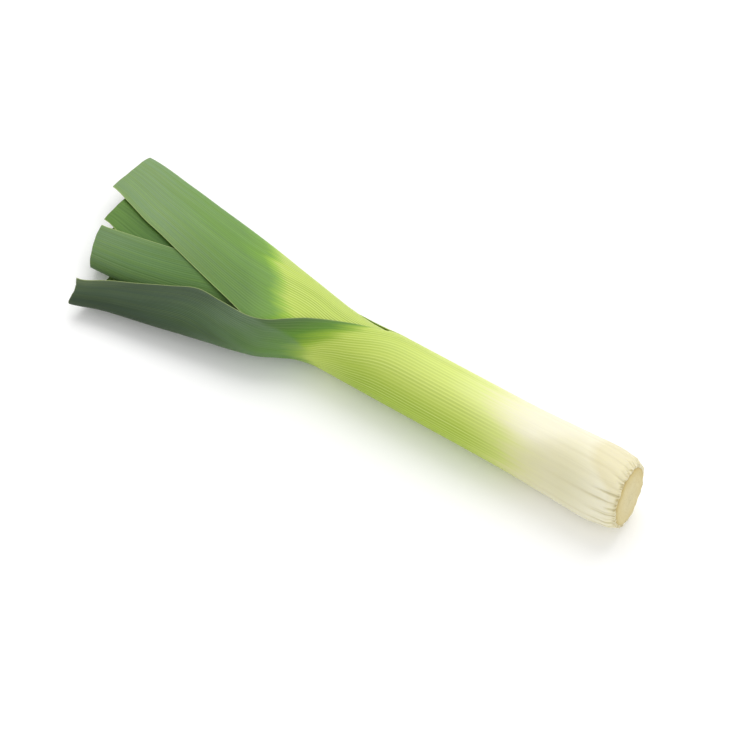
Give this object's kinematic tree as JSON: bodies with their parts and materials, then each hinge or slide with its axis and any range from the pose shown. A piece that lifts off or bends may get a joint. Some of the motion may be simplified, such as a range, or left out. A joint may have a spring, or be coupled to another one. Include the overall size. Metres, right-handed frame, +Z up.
{
  "type": "leek",
  "caption": "Trimmed leek lying on its side: a round white and green shaft of nested leaf sheaths that opens into a flat fan of folded green blades.",
  "frame": {"origin": "centre of the bounding box in plan, at the surface the leek lies on", "axes": "+X towards the root end along the shaft, +Z up from the surface, leaf_1 keel towards -Y"},
  "size_m": [0.4346, 0.1386, 0.0493],
  "materials": {
    "leaf_1": "waxy leaf, white at the base, lime in the shaft, dark green blade",
    "leaf_2": "waxy leaf, lime at the collar, grey-green blade",
    "leaf_3": "waxy grey-green leaf",
    "leaf_4": "satin mid-green leaf",
    "inner_leaf": "satin light green leaf",
    "root_plate": "dry cut stem"
  },
  "bodies": {
    "root": {"leaf_1": "leaf_1", "leaf_2": "leaf_2", "leaf_3": "leaf_3", "leaf_4": "leaf_4", "leaf_5": "inner_leaf", "leaf_6": "inner_leaf", "leaf_7": "inner_leaf", "heart_leaf": "inner_leaf", "root_plate": "root_plate"}
  },
  "joints": []
}
